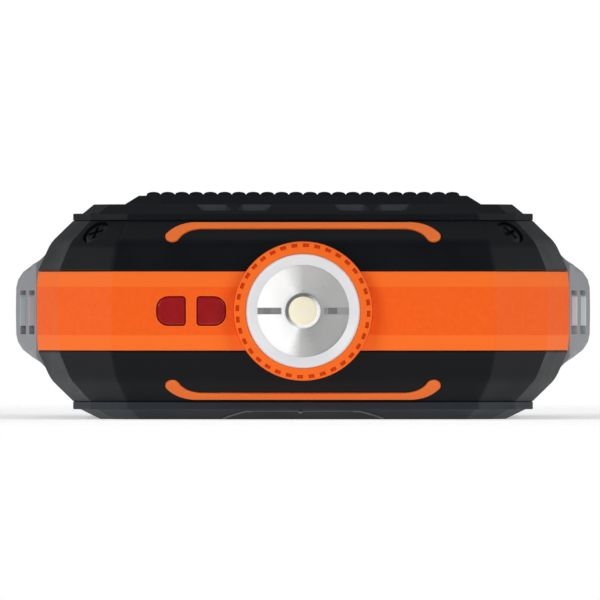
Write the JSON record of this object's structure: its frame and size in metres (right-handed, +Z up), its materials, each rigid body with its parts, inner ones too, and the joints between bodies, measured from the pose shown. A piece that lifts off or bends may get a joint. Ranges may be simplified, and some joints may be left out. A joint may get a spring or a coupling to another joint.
{
  "type": "torch power bank",
  "caption": "Rugged flat power bank with faceted black case, orange bumper band, focusing torch, red signal lamps, ribbed top pad and hinged port cover.",
  "frame": {"origin": "middle of the base cover's flat underside, under the middle of the whole object's box", "axes": "+Z up from the base, -Y the way the torch looks, +X to the right seen from the torch end"},
  "size_m": [0.09, 0.15, 0.0356],
  "materials": {
    "case_black": "fine moulded grain, satin",
    "cover_black": "fine moulded grain",
    "base_grey": "satin",
    "band_orange": "fine textured soft plastic",
    "trim_orange": "satin",
    "ring_orange": "semi gloss",
    "button_orange": "satin",
    "pad_rubber": "matt",
    "seal_rubber": "matt",
    "grip_grey": "satin",
    "carrier_satin": "satin",
    "clear_lens": "polished",
    "reflector_bright": "vacuum metallised",
    "barrel_black": "matt",
    "led_phosphor": "waxy",
    "board_aluminium": "satin",
    "sink_aluminium": "turned",
    "signal_red": "polished, translucent",
    "board_green": "solder mask",
    "switch_black": "satin",
    "window_frosted": "frosted, translucent",
    "cell_wrap": "shrink wrap",
    "cradle_black": "matt",
    "strap_nickel": "nickel strip",
    "socket_steel": "plated",
    "pin_steel": "ground",
    "screw_black": "black zinc"
  },
  "bodies": {
    "case": {"upper_shell": "case_black", "lower_shell": "case_black", "bumper_band": "band_orange", "top_cover": "cover_black", "grip_pad": "pad_rubber", "base_cover": "base_grey", "front_upper_trim": "trim_orange", "front_lower_trim": "trim_orange", "rear_upper_trim": "trim_orange", "rear_lower_trim": "trim_orange", "left_side_grip": "grip_grey", "right_side_grip": "grip_grey", "torch_barrel": "barrel_black", "torch_led": "led_phosphor", "led_board": "board_aluminium", "heat_sink": "sink_aluminium", "signal_lens_outer": "signal_red", "signal_lens_inner": "signal_red", "signal_led_outer": "led_phosphor", "signal_led_inner": "led_phosphor", "signal_board": "board_green", "power_switch": "switch_black", "switch_board": "board_green", "charge_window": "window_frosted", "battery_cell_1": "cell_wrap", "battery_cell_2": "cell_wrap", "battery_cell_3": "cell_wrap", "cell_cradle": "cradle_black", "cell_strap_front": "strap_nickel", "cell_strap_rear": "strap_nickel", "main_board": "board_green", "usb_a_socket_left": "socket_steel", "usb_a_socket_right": "socket_steel", "usb_c_socket": "socket_steel", "port_cover_pin": "pin_steel", "corner_screw_front_left": "screw_black", "corner_screw_front_right": "screw_black", "corner_screw_rear_left": "screw_black", "corner_screw_rear_right": "screw_black", "base_screw_front_left": "screw_black", "base_screw_front_right": "screw_black", "base_screw_rear_left": "screw_black", "base_screw_rear_right": "screw_black"},
    "ring": {"focus_ring": "ring_orange"},
    "optic": {"optic_carrier": "carrier_satin", "torch_lens": "clear_lens", "lens_gasket": "seal_rubber", "torch_reflector": "reflector_bright"},
    "button": {"power_button": "button_orange"},
    "door": {"port_cover": "band_orange"}
  },
  "joints": [
    {"name": "focus_ring_turn", "type": "hinge", "parent": "case", "child": "ring", "pos_m": [0, -0.0728, 0.01694], "axis": [0, -1, 0], "range_deg": [0, 90]},
    {"name": "optic_slide", "type": "slide", "parent": "case", "child": "optic", "axis": [0, -1, 0], "range_m": [0, 0.0016]},
    {"name": "power_button_press", "type": "slide", "parent": "case", "child": "button", "axis": [0, 0, -1], "range_m": [0, 0.0006], "stiffness_N_per_m": 1500},
    {"name": "port_cover_hinge", "type": "hinge", "parent": "case", "child": "door", "pos_m": [0, 0.07405, 0.01244], "axis": [-1, 0, 0], "range_deg": [0, 100]}
  ],
  "couplings": [
    {"joint": "focus_ring_turn", "follows": "optic_slide", "rad_per_m": 981.5}
  ]
}
